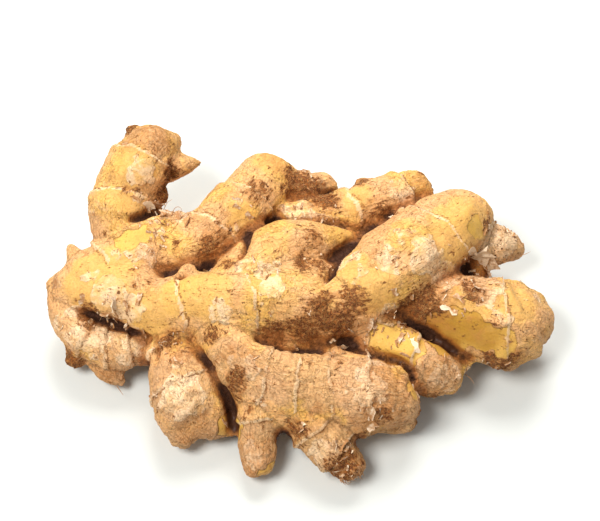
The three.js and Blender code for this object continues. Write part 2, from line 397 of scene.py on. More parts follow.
# Each finger: its ring scars, as shares of its length, then x, y, z and radius from root to tip.
FINGERS = [
    ((0.62,), [(-50, 20, 24, 10.3), (-61, 13, 24, 11.8), (-73, 7, 22, 11.7), (-82, 3, 20, 9.5)]),
    ((), [(-83, 1, 20, 8.8), (-70, -1, 23, 11.3), (-56, -3, 24, 10.9)]),
    ((0.33, 0.6), [(-71, -3, 19, 7.3), (-58, -7, 22, 9.8), (-43, -9, 25, 12.2), (-27, -9, 27, 13.3),
        (-9, -9, 27, 14), (7, -10, 26, 14), (20, -8, 26, 13.3)]),
    ((), [(-14, -2, 28, 11.5), (-4, -1, 28, 12.3), (5, 0, 27, 11)]),
    ((0.4, 0.84), [(-66, 20, 26, 8.8), (-67, 30, 30, 10.4), (-64, 40, 33, 11.5),
        (-59, 49, 36, 11.6), (-55, 55, 38, 9.7)]),
    ((), [(-67, 13, 26, 8.1), (-59, 17, 28, 8.4), (-51, 24, 27, 6.7), (-48, 29, 26, 4.1)]),
    ((0.36, 0.66), [(-50, 13, 24, 9.2), (-37, 18, 25, 11.4), (-30, 23, 26, 12.2),
        (-21, 34, 26, 12.3), (-14, 45, 26, 11.2), (-10, 52, 26, 9.8)]),
    ((0.66,), [(-8, 44, 22, 7.9), (2, 46, 21, 8.1), (10, 49, 20, 6.3)]),
    ((), [(-25, -3, 28, 11.5), (-14, 5, 30, 12.7), (-3, 12, 31, 12), (7, 15, 30, 9.5),
        (12, 17, 29, 6.6)]),
    ((0.5, 0.9), [(-4, 31, 22, 7.5), (11, 32, 24, 7.8), (22, 34, 26, 8.7), (34, 39, 26, 9.2),
        (43, 43, 25, 8.4)]),
    ((0.72,), [(16, -6, 26, 13), (31, 3, 28, 15.2), (44, 14, 28, 15.7), (55, 25, 27, 14.8),
        (60, 30, 26, 12.6)]),
    ((0.45,), [(60, 25, 20, 9.3), (71, 23, 19, 8.6), (78, 23, 17, 6)]),
    ((0.76,), [(42, -5, 22, 10.9), (54, -7, 20, 13.4), (67, -9, 18, 15.8), (76, -10, 16.5, 16.6),
        (80, -8, 17, 13.6)]),
    ((0.55,), [(23, -16, 20, 9.4), (32, -20, 17, 11.2), (42, -25, 15, 11.2), (49, -28, 13, 9.4),
        (53, -29, 12, 7.2)]),
    ((0.36, 0.53, 0.69, 0.88), [(-30, -14, 24, 11.5), (-22, -26, 19, 13.4), (-9, -34, 16, 15.4),
        (7, -37, 15, 15.8), (23, -39, 15, 15), (33, -39, 14, 12.3)]),
    ((0.2,), [(-15, -45, 15, 7.6), (-15, -54, 10, 7.4), (-14.5, -64, 6, 5.8)]),
    ((0.3, 0.72), [(2, -44, 15, 10.3), (10, -54, 11, 9.5), (19, -65, 7, 6)]),
    ((0.3, 0.72), [(-46, -11, 21, 8.4), (-45, -22, 17, 9.8), (-41, -35, 13, 13.4),
        (-38, -45, 12, 12.6)]),
    ((0.45, 0.64, 0.85), [(-86, 1, 18, 7.6), (-82, -10, 16, 8.1), (-73, -17, 15, 8.4),
        (-62, -19, 14, 8.1), (-55, -20, 13, 5.9)]),
]
# Buds and knobs, then the flesh under the fingers. They have no rings.
RINGLESS = [
    [(-52, 48, 33, 6.9), (-44, 50, 32, 4.6), (-37, 52, 31, 1)],
    [(-61, 57, 38, 5), (-63, 62, 39, 3.2)],
    [(-51, 56, 36, 6.8), (-47, 58, 36, 3.8)],
    [(-60, 36, 29, 8.2), (-53, 38, 28, 5.2), (-51, 39, 28, 3)],
    [(-72, 31, 30, 4.6), (-76, 31, 29, 3.3)],
    [(-50, 23, 27, 6.6), (-43, 29, 26, 3.9)],
    [(-82, 12, 23, 4.8), (-84, 16, 26, 2.7)],
    [(-87, 5, 20, 5.5), (-91, 4, 20, 3.3)],
    [(-41, -2, 30, 5.8), (-40, 2, 33, 3.6)],
    [(-27, 4, 31, 5), (-27, 7, 32, 3)],
    [(9, 16, 31, 5.5), (17, 19, 29, 3.5)],
    [(25, 41, 28, 5.4), (23, 44, 29, 3.2)],
    [(28, 28, 26, 5.6), (31, 32, 29, 3.2)],
    [(56, 33, 27, 6.9), (60, 37, 27, 4)],
    [(60, 26, 26, 8.2), (67, 31, 24, 4.6)],
    [(70, -3, 21, 9.5), (76, 0, 21, 5.8)],
    [(80, -4, 19, 9.8), (86, -3, 19, 5.4)],
    [(73, -16, 11, 9.3), (77, -21, 9, 5.5)],
    [(53, -26, 14, 5), (60, -26, 13, 1.8)],
    [(34, -35, 20, 5.9), (40, -34, 20, 3)],
    [(25, -43, 10, 7.1), (35, -45, 9, 6.4), (38, -46, 9, 5.2)],
    [(1, -31, 25, 4.4), (1, -27, 28, 2.4)],
    [(13, -32, 24, 4.4), (13, -28, 27, 2.4)],
    [(-34, -43, 11, 10.6), (-28, -47, 9, 7.2), (-24, -49, 8, 3.2)],
    [(-41, -49, 9, 6.6), (-43, -54, 6, 4.2)],
    [(-36, -30, 16, 6), (-31, -31, 16, 3.2)],
    [(-81, -17, 10, 5.2), (-83, -21, 7, 3.8)],
    [(-74, -20, 10, 4.9), (-69, -26, 7, 4.2), (-65, -28, 6, 3)],
    [(-77, 0, 14, 7), (-62, -7, 13, 8.8), (-46, -7, 12, 9.8), (-32, -13, 14, 8.4),
        (-14, -9, 13, 10.8), (4, -14, 14, 9), (22, -9, 13, 10.4), (38, -8, 14, 9), (50, -2, 14, 8)],
    [(-54, 8, 15, 9), (-40, 15, 15, 11.5), (-24, 10, 15, 12), (-8, 18, 16, 11.6), (8, 13, 16, 12.6),
        (24, 20, 16, 11.4), (42, 12, 15, 11)],
    [(-31, 20, 14, 10), (-19, 36, 9, 10.4), (-11, 44, 9, 8)],
    [(28, 20, 13, 11), (42, 29, 10, 10.8)],
    [(62, 16, 15, 8.8), (60, 8, 14, 9)],
    [(-62, 10, 14, 9), (-70, 15, 8, 6.8)],
    [(-46, 2, 12, 8), (-50, 0, 5, 6), (-51, -1, 3, 5.4)],
    [(14, 14, 12, 8.4), (10, 18, 5, 6.6), (9, 19, 3, 5.8)],
    [(40, -4, 12, 7), (46, -1, 6, 5)],
    [(-24, 4, 10, 7), (-27, 1, 5, 4.6)],
]
FINGERS += [((), knots) for knots in RINGLESS]

# %% Give each point of the skin its place on a finger
LINE_STEP = 1.2
UP = np.array((0.0, 0.0, 1.0))
NO_RING = 1e3
GRAIN_APART = 37.0  # mm between the grain of one finger and the next, so that none repeats


def lines_of_growth():
    """All fingers sampled: finger number, distance along, centre, direction and radius."""
    rows = []
    lengths = []
    for number, (_, knots) in enumerate(FINGERS):
        line = smooth_line(knots, LINE_STEP)
        centre = line[:, :3] + CENTRED
        gaps = np.linalg.norm(np.diff(centre, axis=0), axis=1)
        along = np.concatenate([[0], np.cumsum(gaps)])
        direction = np.gradient(centre, axis=0)
        direction /= np.linalg.norm(direction, axis=1, keepdims=True)
        lengths.append(along[-1])
        count = len(line)
        rows.append(np.column_stack([np.full(count, number), along, centre, direction, line[:, 3]]))
    return np.vstack(rows), np.array(lengths)


def nearest_line(places_mm, samples):
    """The sample whose skin is nearest to each point, worked out in batches to save memory."""
    best = np.empty(len(places_mm), int)
    batch = 4000
    for start in range(0, len(places_mm), batch):
        part = places_mm[start : start + batch]
        away = np.linalg.norm(part[:, None] - samples[None, :, 2:5], axis=2) - samples[:, 8]
        best[start : start + batch] = away.argmin(axis=1)
    return best


samples, finger_lengths = lines_of_growth()
skin_mm = points_of(body) / MM
sample_at = samples[nearest_line(skin_mm, samples)]
finger_at = sample_at[:, 0].astype(int)
off_line = skin_mm - sample_at[:, 2:5]
direction_at = sample_at[:, 5:8]
side_at = np.cross(direction_at, UP)
side_at /= np.maximum(np.linalg.norm(side_at, axis=1, keepdims=True), 1e-6)
lift_at = np.cross(side_at, direction_at)
along_at = sample_at[:, 1] + (off_line * direction_at).sum(axis=1)
across_at = (off_line * side_at).sum(axis=1)
rise_at = (off_line * lift_at).sum(axis=1)
grain_at = np.column_stack([across_at, along_at + GRAIN_APART * finger_at, rise_at])
print("fingers mapped:", len(FINGERS), "lines,", len(samples), "samples")

# %% [markdown]
# ## Ring scars
#
# Each ring is the scar of a scale leaf that once wrapped the finger. The skin rises to a torn lip
# that points to the tip, drops into a fine groove behind it and swells again. The rings wander,
# fade and tear, so their place along the finger is disturbed by noise of three sizes.

# %% Find how far each point is past its nearest ring
LEAN = 0.14
RING_STRAYS = [(13, 2.2), (5, 0.8), (1.9, 0.35)]
FAINT_RING_GAP = 6.5
RING_REACH = 4.0
GROOVE_AT = 0.9
RING_FADE = (-0.7, -0.1)
FAINT_FADE = (-0.1, 0.45)


def noise_at(places_mm, size, seed=0.0):
    """Smooth noise from -1 to 1 with lumps of about one size, in mm."""
    scaled = (places_mm / size + seed).tolist()
    return np.fromiter((noise.noise(place) for place in scaled), float, len(scaled))


ring_stray = sum(reach * noise_at(skin_mm, size, 3.7) for size, reach in RING_STRAYS)
ring_place = along_at - LEAN * across_at - ring_stray
past_ring = np.full(len(skin_mm), NO_RING)
past_faint = np.full(len(skin_mm), NO_RING)


def nearer(current, gap):
    """Keeps whichever of two distances is nearer to zero."""
    return np.where(np.abs(gap) < np.abs(current), gap, current)


for number, (rings, _) in enumerate(FINGERS):
    here = finger_at == number
    for share in rings:
        gap = ring_place[here] - share * finger_lengths[number]
        past_ring[here] = nearer(past_ring[here], gap)
    for faint in np.arange(0.5 * FAINT_RING_GAP, finger_lengths[number], FAINT_RING_GAP):
        past_faint[here] = nearer(past_faint[here], ring_place[here] - faint)

ring_strength = smoothstep(*RING_FADE, noise_at(skin_mm, 8, 9.1))
faint_strength = smoothstep(*FAINT_FADE, noise_at(skin_mm, 7, 5.3))
print("points near a ring:", int((np.abs(past_ring) < 1).sum()))

# %% [markdown]
# ## Where the skin is rubbed, papery or scabbed
#
# Handling rubs the skin to a smooth, waxy gold on the high places. Dry scales stay pale and papery
# between them, and brown corky scabs form where fingers touched or broke. On the real ginger these
# are patches with torn edges. They are set down as listed round spots on the skin and torn by
# noise, and a few more are left to noise alone, so the sides that can't be seen are finished too.

# %% Place the patches
# Centre x, y, z and radius, all in mm.
RUBBED = [
    (-73, 0, 33, 13), (-66, 6, 35, 9), (-55, -13, 31, 9), (-33, -8, 40, 10), (-43, -9, 37, 8),
    (-11, 52, 36, 6), (15, 21, 34, 5), (21, 36, 34, 6), (57, 18, 41, 11), (63, 24, 37, 8),
    (57, 8, 38, 7), (26, -6, 39, 9), (20, 2, 41, 6), (-60, 44, 44, 8), (-64, 34, 40, 7),
    (-22, 28, 37, 6), (60, -12, 33, 8), (78, -8, 30, 8), (-12, -6, 42, 6),
]
BARE = [
    (55, -17, 27, 9), (60, -16, 30, 6), (66, -19, 26, 6), (72, -20, 25, 5), (49, -14, 27, 4),
    (37, -22, 27, 8), (30, -20, 27, 6), (-62, 17, 36, 5), (-56, 19, 36, 3.5),
    (41, -38, 24, 3), (-24, -47, 12, 5), (-10, -64, 8, 4), (64, 20, 37, 4),
]
# Where the skin has dried to orange brown.
BROWNED = [
    (-55, 55, 47, 10), (-8, 52, 35, 7), (45, 45, 32, 6), (62, 2, 34, 10), (33, -38, 28, 10),
    (28, -50, 18, 11), (-15, -62, 12, 9), (16, -63, 12, 9), (-44, -24, 30, 7), (52, -32, 18, 8),
    (8, -20, 32, 11), (22, -14, 35, 7), (-52, 40, 36, 6), (-30, 14, 34, 7), (2, 8, 38, 6),
    (28, 31, 31, 6), (48, -8, 32, 9), (-80, -20, 12, 7), (-72, -24, 10, 6), (-20, -30, 30, 6),
    (10, 36, 32, 6), (76, -22, 14, 8), (-90, 4, 18, 6), (-36, -48, 14, 7), (6, -48, 20, 6),
]
# Where bare flesh is deep yellow and darkened with the painted shadow of the next finger.
AMBER_IN_SHADE = [(52, -16, 26, 9), (60, -17, 29, 8), (67, -18, 25, 6), (46, -14, 25, 5)]
PAPERY = [
    (45, 6, 42, 7), (51, 2, 38, 5), (31, 2, 43, 4.5), (-74, 3, 33, 3), (-68, -6, 32, 8),
    (-10, -7, 42, 5), (39, 38, 34, 5), (-40, -42, 25, 9), (73, 21, 25, 8), (-45, 32, 30, 6),
    (65, -1, 33, 8), (74, -13, 32, 3), (-80, -12, 22, 8), (10, -60, 14, 7), (-15, -58, 12, 5),
    (24, -40, 28, 6), (-58, 42, 42, 5), (-58, -12, 32, 4), (-28, -14, 37, 4), (-74, -15, 22, 8),
    (-62, -18, 20, 7), (-20, -32, 30, 5), (50, -29, 18, 6),
]
SCABS = [
    (-8, -20, 30, 4.5), (2, -20, 33, 6), (13, -18, 34, 6.5), (18, -11, 36, 5), (43, -8, 31, 7),
    (48, -13, 28, 5), (39, -10, 25, 5), (0, 46, 29, 7), (10, 37, 32, 4), (-32, 13, 32, 5),
    (-26, 4, 39, 3), (6, 15, 40, 3), (0, 4, 40, 2.5), (68, -18, 28, 4.5), (72, -25, 19, 7),
    (16, -63, 13, 6), (-47, -22, 27, 3), (-1, -52, 18, 4), (30, -49, 22, 3), (-48, 46, 37, 4),
    (24, 45, 32, 3), (-75, -8, 25, 4), (-82, -20, 10, 4), (30, 31, 31, 3), (-30, -22, 32, 3),
    (-22, -38, 26, 4), (61, 13, 27, 4), (45, -40, 10, 7), (-62, 62, 38, 4), (62, -3, 33, 4),
    (6, 44, 30, 6), (8, -13, 38, 4), (-50, 40, 32, 4),
]
FRECKLED = [
    (-18, -15, 38, 4), (-9, -14, 38, 4), (5, 5, 38, 6), (-9, 40, 34, 6), (32, 36, 35, 6),
    (72, 20, 24, 8), (-2, -16, 39, 6), (44, -4, 37, 6), (62, -8, 33, 6), (-20, 24, 36, 6),
    (74, -14, 28, 7), (12, 30, 33, 6),
]
# Where the skin is older, duller and browner.
DULL = [
    (-25, -32, 28, 10), (-8, -36, 30, 12), (8, -38, 30, 12), (24, -40, 28, 12), (36, -42, 20, 10),
    (-15, -56, 12, 12), (12, -58, 14, 13), (-41, -38, 24, 13), (50, -31, 21, 11), (74, 22, 24, 10),
    (62, 2, 33, 8), (4, 46, 28, 8), (-57, 52, 46, 9),
]


def patches(places_mm, spots, tear, edge, seed):
    """A mask from 0 to 1 that is 1 inside the spots, with an edge torn by noise. All in mm."""
    torn = tear * noise_at(places_mm, 6, seed) + 0.6 * tear * noise_at(places_mm, 2.4, seed)
    mask = np.zeros(len(places_mm))
    for x, y, z, radius in spots:
        away = away_from(places_mm, x, y, z) + torn
        mask = np.maximum(mask, 1 - smoothstep(radius - edge, radius + edge, away))
    return mask


rubbed = patches(skin_mm, RUBBED, 2.0, 4.0, 1.3)
bare = patches(skin_mm, BARE, 2.6, 1.5, 5.9)
browned = patches(skin_mm, BROWNED, 2.5, 4.5, 9.9)
amber_in_shade = patches(skin_mm, AMBER_IN_SHADE, 2.0, 3.0, 3.9)
papery = patches(skin_mm, PAPERY, 3.5, 1.2, 2.9)
scab = patches(skin_mm, SCABS, 3.2, 3.2, 4.1)
freckled = patches(skin_mm, FRECKLED, 2.5, 2.5, 6.7)
dull = patches(skin_mm, DULL, 3.0, 4.0, 7.1)
wild = noise_at(skin_mm, 14, 8.3) + 0.5 * noise_at(skin_mm, 5, 8.3)
papery = np.maximum(papery, 0.6 * smoothstep(0.34, 0.46, wild))
wild_scab = noise_at(skin_mm, 11, 15.1) + 0.5 * noise_at(skin_mm, 3, 2)
scab = np.maximum(scab, 0.55 * smoothstep(0.5, 0.75, wild_scab))
dull = np.maximum(dull, 1 - smoothstep(8, 18, skin_mm[:, 2] + 6 * wild))
papery *= 1 - bare
scab *= 1 - 0.9 * bare
print("share of the skin rubbed:", round(rubbed.mean(), 2), "papery:", round(papery.mean(), 2))

# %% [markdown]
# ## How deep each point lies in a crease
#
# Creases and the valleys round them get painted shade: brown to near black deep in a crease and
# orange brown for some way round it, so the finish has to know where they are. A copy of the
# rhizome is swollen until its creases close and then shrunk back. What then lies far beneath this
# closed copy is deep in a crease. It is a measure of the shape, so it is right from every side. A
# greater swelling finds the wide valleys.

# %% Measure the creases and the valleys
CREASE_CLOSING = 3.5 * MM
VALLEY_CLOSING = 7.0 * MM
CLOSED_GRID = 1.6 * MM


def depth_in_folds(closing):
    """How far each point of the skin lies under a copy whose folds are closed, in mm."""
    closed = new_piece("closed_copy", body.data.copy())
    regrid(closed, CLOSED_GRID)
    close_folds(closed, lambda places: closing, CLOSED_GRID)
    closed_tree = BVHTree.FromObject(closed, bpy.context.evaluated_depsgraph_get())
    depths = []
    for place in points_of(body):
        found, normal, _, _ = closed_tree.find_nearest(place)
        depths.append(max(0.0, (found - Vector(place)).dot(normal)) / MM)
    bpy.data.objects.remove(closed)
    return np.array(depths)


crease_depth_at = depth_in_folds(CREASE_CLOSING)
valley_depth_at = depth_in_folds(VALLEY_CLOSING)
print("deepest crease, mm:", round(crease_depth_at.max(), 1))
print("deepest valley, mm:", round(valley_depth_at.max(), 1))

# %% [markdown]
# ## The relief of the skin
#
# All relief is added to the points themselves, as a sculptor would, because the forms have to be
# there in every light and from every side: soft lumps, ring lips, fibres along the finger, crumbled
# scabs and the raised edge of papery patches. Only what is finer than the grid is left to bump.

# %% Raise the relief
LUMPS = [(13, 0.6), (6, 0.28), (3, 0.07)]
# Soft swellings and dents: x, y, z, how far round and how high, mm.
SWELLINGS = [
    (45, 6, 42, 7, 1.7), (36, 4, 43, 5, -1.5), (52, 14, 42, 6, -1.5), (58, 22, 40, 6, 1.6),
    (30, -4, 40, 6, 1.4), (26, -13, 37, 5, -1.2), (-66, 4, 34, 7, 0.7), (-58, 0, 32, 5, -0.9),
    (-40, -4, 38, 6, 0.8), (-25, -14, 38, 6, -0.7), (66, -10, 32, 6, -0.8), (76, -12, 30, 6, 0.7),
    (-10, -36, 31, 7, 0.7), (10, -38, 31, 6, -0.7), (-62, 42, 44, 6, 0.6), (-62, 32, 40, 5, -0.8),
    (-24, 26, 38, 6, -0.7), (-15, 40, 38, 5, 0.7), (-8, 6, 42, 5, 0.7), (2, 10, 41, 5, -0.7),
    (-42, -34, 27, 6, 0.9), (-36, -44, 20, 5, -0.9), (22, 36, 34, 5, 0.7), (34, 40, 34, 4, -0.7),
    (8, -16, 38, 6, -0.7), (-14, -12, 41, 6, 0.6), (40, -24, 26, 5, 0.7), (50, -29, 20, 5, -0.7),
]
RING_LIP = 0.7
RING_GROOVE = 0.4
FAINT_RING = 0.5
FIBRE = 0.24
WRINKLE = 0.32
CROSS_FOLD = 0.5
SCAB_CRUMB = 0.75
PAPER_EDGE = 0.2
RUB_DEPTH = 0.35


def ring_relief(past):
    """A torn lip before the ring, a groove just past it: past is in mm towards the tip."""
    lip = np.where(past < 0, bell(past, 3.0), bell(past, 0.4))
    return RING_LIP * lip - RING_GROOVE * bell(past - GROOVE_AT, 0.7)


relief = sum(height * noise_at(skin_mm, size, 1.1) for size, height in LUMPS)
for x, y, z, size, swelling in SWELLINGS:
    relief += swelling * bell(away_from(skin_mm, x, y, z), size)
relief += ring_relief(past_ring) * ring_strength * (1 - 0.5 * rubbed)
relief += FAINT_RING * ring_relief(past_faint) * faint_strength * (0.7 + 0.6 * dull)
fibres = noise_at(grain_at * (0.75, 0.13, 0.75), 1.0, 2.2)
fibres += 0.6 * noise_at(grain_at * (1.5, 0.3, 1.5), 1.0)
smooth_skin = np.maximum(0.7 * rubbed, bare)
relief += FIBRE * fibres * (1 - 0.9 * smooth_skin)
wrinkles = np.abs(noise_at(skin_mm, 3.4, 12.5)) + 0.5 * np.abs(noise_at(skin_mm, 1.9, 4.4))
cross_folds = noise_at(grain_at * (0.1, 0.42, 0.1), 1.0, 6.1)
worn = np.maximum(0.25 + 0.5 * dull, scab) * (1 - smooth_skin)
relief -= WRINKLE * (1 - smoothstep(0.0, 0.3, wrinkles)) * worn
relief -= CROSS_FOLD * (1 - smoothstep(0.0, 0.22, np.abs(cross_folds))) * worn * (1 - scab)
crumbs = 1 - 2 * np.abs(noise_at(skin_mm, 2.6, 7.7)) - np.abs(noise_at(skin_mm, 1.6, 3.1))
relief += SCAB_CRUMB * crumbs * scab
relief += PAPER_EDGE * papery - RUB_DEPTH * bare
relief -= 0.5 * smoothstep(0.4, 2.0, crease_depth_at)

push_skin(body, relief * MM)
places = points_of(body)
places[:, 2] = np.maximum(places[:, 2], 0.0)
move_points(body, places)
print("relief, mm:", round(float(relief.min()), 2), "to", round(float(relief.max()), 2))

# %% Write the masks on the skin for its material
def write_on_skin(name, values, kind="FLOAT"):
    attribute = body.data.attributes.new(name, kind, "POINT")
    key = "vector" if kind == "FLOAT_VECTOR" else "value"
    attribute.data.foreach_set(key, np.asarray(values, np.float32).ravel())


ring_away = np.minimum(np.abs(past_ring - GROOVE_AT) + 1.5 * (1 - ring_strength), RING_REACH)
ring_away += 0.6 * bare
faint_away = np.abs(past_faint - GROOVE_AT) + 0.5 + 2.5 * (1 - faint_strength) + 3.0 * smooth_skin
skin_masks = {
    "rubbed": rubbed, "bare": bare, "dull": dull, "papery": papery, "scab": scab,
    "freckled": freckled, "crease": crease_depth_at, "valley": valley_depth_at,
    "amber_in_shade": amber_in_shade, "browned": browned, "ring_away": np.minimum(ring_away, faint_away),
    "ring_lip": bell(past_ring + 0.1, 0.5) * ring_strength,
}
for name, values in skin_masks.items():
    write_on_skin(name, values)
write_on_skin("grain", grain_at, "FLOAT_VECTOR")
print("masks:", [a.name for a in body.data.attributes if a.name[0] not in "._"])

# %% [markdown]
# ## The finish of the skin
#
# Fresh ginger is a dry tan skin with fine brown fibres along the finger, over waxy golden flesh.
# The finish starts from a tan that drifts to gold, and then the masks turn it, one after the
# other: pale where it is papery, gold and smoother where it is rubbed, crumbled brown on scabs,
# darker with painted shade towards the creases and in the valleys, with thin brown ring lines and
# freckles. Fine noise tears the edge of every mask, because the masks themselves are no finer than
# the grid of points.

# %% Small helpers for shader nodes
# Each adds its nodes to tree, the node tree of the material that is being painted.
def node_of(kind, **settings):
    """Adds a shader node and sets its plain settings."""
    made = tree.nodes.new(kind)
    for name, value in settings.items():
        setattr(made, name, value)
    return made


def wire(socket, value):
    """Links a node's output to a socket, or sets a plain value on it."""
    if isinstance(value, bpy.types.NodeSocket):
        tree.links.new(value, socket)
    else:
        socket.default_value = value


def sums(operation, first, second=0.0, third=None):
    """One step of arithmetic."""
    node = node_of("ShaderNodeMath", operation=operation)
    wire(node.inputs[0], first)
    wire(node.inputs[1], second)
    if third is not None:
        wire(node.inputs[2], third)
    return node.outputs[0]


def times(first, second):
    return sums("MULTIPLY", first, second)


def step_of(value, low, high, start=0.0, end=1.0):
    """A smooth step: start below low, end above high."""
    node = node_of("ShaderNodeMapRange", interpolation_type="SMOOTHSTEP")
    wire(node.inputs["Value"], value)
    set_inputs(node, {"From Min": low, "From Max": high, "To Min": start, "To Max": end})
    return node.outputs["Result"]


def coloured(share, under, over, how="MIX"):
    """Lays one colour over another by a share."""
    node = node_of("ShaderNodeMix", data_type="RGBA", blend_type=how)
    wire(node.inputs[0], share)
    wire(node.inputs[6], under)
    wire(node.inputs[7], over)
    return node.outputs[2]


def scaled(where, scale):
    node = node_of("ShaderNodeMapping")
    wire(node.inputs["Vector"], where)
    set_inputs(node, {"Scale": scale})
    return node.outputs["Vector"]


def clouds(where, scale, detail=3.0, roughness=0.55, distortion=0.0):
    node = node_of("ShaderNodeTexNoise")
    wire(node.inputs["Vector"], where)
    set_inputs(node, {"Scale": scale, "Detail": detail})
    set_inputs(node, {"Roughness": roughness, "Distortion": distortion})
    return node.outputs["Fac"]


def cells(where, scale):
    node = node_of("ShaderNodeTexVoronoi")
    wire(node.inputs["Vector"], where)
    set_inputs(node, {"Scale": scale})
    return node.outputs["Distance"]


def mask_of(name):
    return node_of("ShaderNodeAttribute", attribute_name=name).outputs["Fac"]


# %% Paint the skin
TAN = (0.69, 0.37, 0.152, 1)
TAN_DEEP = (0.56, 0.262, 0.082, 1)
TAN_DULL = (0.55, 0.31, 0.148, 1)
GOLD = (0.725, 0.405, 0.1, 1)
FLESH = (0.705, 0.415, 0.078, 1)
# Deep yellow bare flesh, darkened as painted shadow.
AMBER_FLESH_IN_SHADE = (0.42, 0.21, 0.012, 1)
PALE = (0.82, 0.56, 0.32, 1)
PAPER = (0.845, 0.62, 0.39, 1)
# Brown of corky scabs, also used for the brown painted shade in the creases.
CORK_AND_CREASE_SHADE = (0.35, 0.112, 0.022, 1)
CORK_DARK = (0.11, 0.028, 0.007, 1)
CORK_LIGHT = (0.69, 0.37, 0.13, 1)
# Orange brown of the real stains round scabs and on dried skin, also used for painted shade in the
# valleys.
STAIN_AND_VALLEY_SHADE = (0.43, 0.165, 0.036, 1)
FIBRE_BROWN = (0.34, 0.135, 0.04, 1)
RING_BROWN = (0.3, 0.115, 0.034, 1)
# Near black painted shade deep in the creases.
CREASE_SHADE_DARK = (0.045, 0.014, 0.006, 1)
METRE_TO_MM = 1000.0
BUMP_HEIGHT = 0.55 * MM

skin, tree, shader = new_material("ginger_skin")
here = node_of("ShaderNodeTexCoord").outputs["Object"]
place = scaled(here, (METRE_TO_MM,) * 3)
grain = node_of("ShaderNodeAttribute", attribute_name="grain").outputs["Vector"]

drift = clouds(place, 0.05, 2.0, 0.5)
mottle = clouds(place, 0.16, 4.0, 0.6, 0.5)
speck = clouds(place, 0.5, 3.0, 0.65, 0.3)
dust = clouds(place, 1.3, 2.0, 0.6)
fibre = clouds(scaled(grain, (0.6, 0.11, 0.6)), 1.0, 3.0, 0.65, 0.5)
fine_fibre = clouds(scaled(grain, (1.35, 0.3, 1.35)), 1.0, 2.0, 0.6, 0.4)
fold = clouds(place, 0.2, 3.0, 0.6, 1.2)
fold_line = sums("ABSOLUTE", sums("SUBTRACT", fold, 0.5))


def shaken(name, noise_value, amount):
    """A mask from the skin, shaken by noise so that its soft edge becomes uneven."""
    shaken_by = sums("MULTIPLY_ADD", noise_value, amount, -0.5 * amount)
    return sums("ADD", mask_of(name), shaken_by)


def lay(colour, layers):
    """Lays colours over one another. A layer is how much it covers, then its colour."""
    for share, over in layers:
        colour = coloured(share, colour, over)
    return colour


dull_here = step_of(shaken("dull", mottle, 1.6), 0.2, 0.8)
rubbed_here = step_of(shaken("rubbed", mottle, 1.2), 0.15, 0.85)
papery_here = step_of(shaken("papery", speck, 1.4), 0.35, 0.65)
bare_here = step_of(shaken("bare", speck, 1.0), 0.3, 0.7)
bare_edge = sums("ABSOLUTE", sums("SUBTRACT", bare_here, 0.5))
# Bare flesh is deeper and darker where the painted shadow of the next finger falls on it.
flesh = coloured(mask_of("amber_in_shade"), FLESH, AMBER_FLESH_IN_SHADE)
colour = lay(TAN, [
    (step_of(drift, 0.42, 0.62), GOLD),
    (step_of(mottle, 0.5, 0.7, 0.0, 0.45), PALE),
    (step_of(mottle, 0.47, 0.3, 0.0, 0.6), TAN_DEEP),
    (times(dull_here, 0.75), TAN_DULL),
    (times(rubbed_here, 0.75), GOLD),
    (times(papery_here, step_of(mottle, 0.38, 0.58, 0.16, 0.74)), PAPER),
    (times(bare_here, 0.85), flesh),
    (step_of(bare_edge, 0.4, 0.08, 0.0, 0.3), FIBRE_BROWN),
])
print("nodes for the ground colours:", len(tree.nodes))

# %% Add fibres, folds and ring scars
# Rubbed and bare places have lost most of their skin, and with it the fibres.
smooth_here = sums("MAXIMUM", times(rubbed_here, 0.6), times(bare_here, 0.9))
skin_left = sums("SUBTRACT", 1.0, smooth_here)
worn_here = times(sums("MULTIPLY_ADD", dull_here, 0.2, 0.5), skin_left)
fold_ink = times(step_of(fold_line, 0.016, 0.003, 0.0, 0.38), skin_left)
ring_line = step_of(shaken("ring_away", speck, 1.5), 0.38, 0.06, 0.0, 0.75)
colour = lay(colour, [
    (times(step_of(fibre, 0.54, 0.72, 0.0, 0.45), worn_here), FIBRE_BROWN),
    (times(step_of(fine_fibre, 0.55, 0.72, 0.0, 0.5), worn_here), FIBRE_BROWN),
    (times(step_of(fine_fibre, 0.44, 0.25, 0.0, 0.6), worn_here), PALE),
    (times(fold_ink, step_of(speck, 0.44, 0.58)), FIBRE_BROWN),
    (step_of(shaken("ring_lip", speck, 1.2), 0.26, 0.56, 0.0, 0.8), PALE),
    (ring_line, RING_BROWN),
])
print("nodes with fibres and rings:", len(tree.nodes))

# %% Add stains, scabs, freckles and the painted shade in the creases and valleys
cork_fold = clouds(place, 0.5, 2.0, 0.6, 1.8)
cork_line = sums("ABSOLUTE", sums("SUBTRACT", cork_fold, 0.5))
curls = clouds(place, 0.42, 2.0, 0.6, 3.0)
curl_line = sums("ABSOLUTE", sums("SUBTRACT", curls, 0.52))
curl_ridge = step_of(curl_line, 0.04, 0.01)
cork_colour = lay(CORK_AND_CREASE_SHADE, [
    (step_of(curls, 0.5, 0.42, 0.0, 0.9), CORK_DARK),
    (times(curl_ridge, 0.95), CORK_LIGHT),
    (step_of(cork_line, 0.035, 0.008, 0.0, 0.9), CORK_DARK),
])
browned_here = step_of(shaken("browned", mottle, 2.2), 0.15, 1.0, 0.0, 0.55)
scab_edge = sums("MULTIPLY_ADD", fine_fibre, 2.0, -1.0)
scab_edge = sums("ADD", shaken("scab", speck, 2.6), scab_edge)
scab_here = step_of(scab_edge, 0.32, 0.75)
freckle_size = step_of(clouds(place, 0.4, 2.0), 0.46, 0.6)
freckles = times(step_of(cells(place, 0.62), 0.34, 0.2), freckle_size)
freckle_share = step_of(mask_of("freckled"), 0.1, 0.7, 0.03, 0.95)
freckle_share = times(freckle_share, skin_left)
